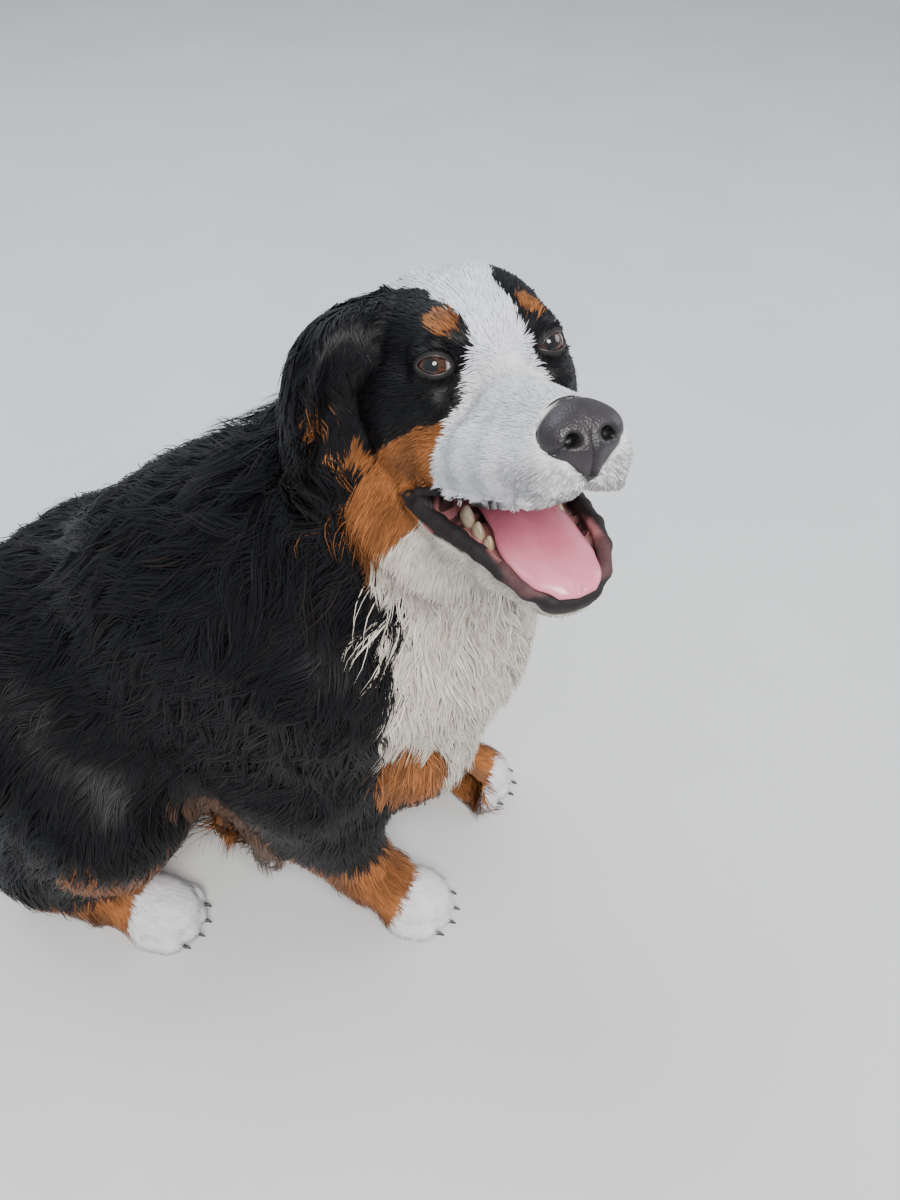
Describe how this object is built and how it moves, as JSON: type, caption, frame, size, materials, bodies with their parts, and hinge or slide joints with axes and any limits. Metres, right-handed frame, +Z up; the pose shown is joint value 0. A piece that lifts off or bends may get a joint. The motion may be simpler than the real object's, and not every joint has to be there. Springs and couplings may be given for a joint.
{
  "type": "sitting dog model",
  "caption": "Life-size still model of a sitting Bernese mountain dog, long tricolour coat, head turned to its right, mouth open.",
  "frame": {"origin": "on the floor, under the middle of the whole model's box", "axes": "+X the way the chest faces, +Y the dog's left, +Z up"},
  "size_m": [1.064, 0.537, 0.767],
  "materials": {
    "black_coat": "satin",
    "white_coat": "matte",
    "nose": "satin",
    "tongue": "satin",
    "eye": "gloss",
    "claw": "satin"
  },
  "bodies": {
    "root": {"head": "black_coat", "muzzle": "white_coat", "nose": "nose", "lower_jaw": "white_coat", "tongue": "tongue", "eye_right": "eye", "eye_left": "eye", "ear_right": "black_coat", "ear_left": "black_coat", "neck": "black_coat", "trunk": "black_coat", "tail": "black_coat", "foreleg_right": "black_coat", "forepaw_right": "white_coat", "hindleg_right": "black_coat", "hindpaw_right": "white_coat", "claw_fore_right_1": "claw", "claw_fore_right_2": "claw", "claw_fore_right_3": "claw", "claw_fore_right_4": "claw", "claw_hind_right_1": "claw", "claw_hind_right_2": "claw", "claw_hind_right_3": "claw", "claw_hind_right_4": "claw", "foreleg_left": "black_coat", "forepaw_left": "white_coat", "hindleg_left": "black_coat", "hindpaw_left": "white_coat", "claw_fore_left_1": "claw", "claw_fore_left_2": "claw", "claw_fore_left_3": "claw", "claw_fore_left_4": "claw", "claw_hind_left_1": "claw", "claw_hind_left_2": "claw", "claw_hind_left_3": "claw", "claw_hind_left_4": "claw"}
  },
  "joints": []
}
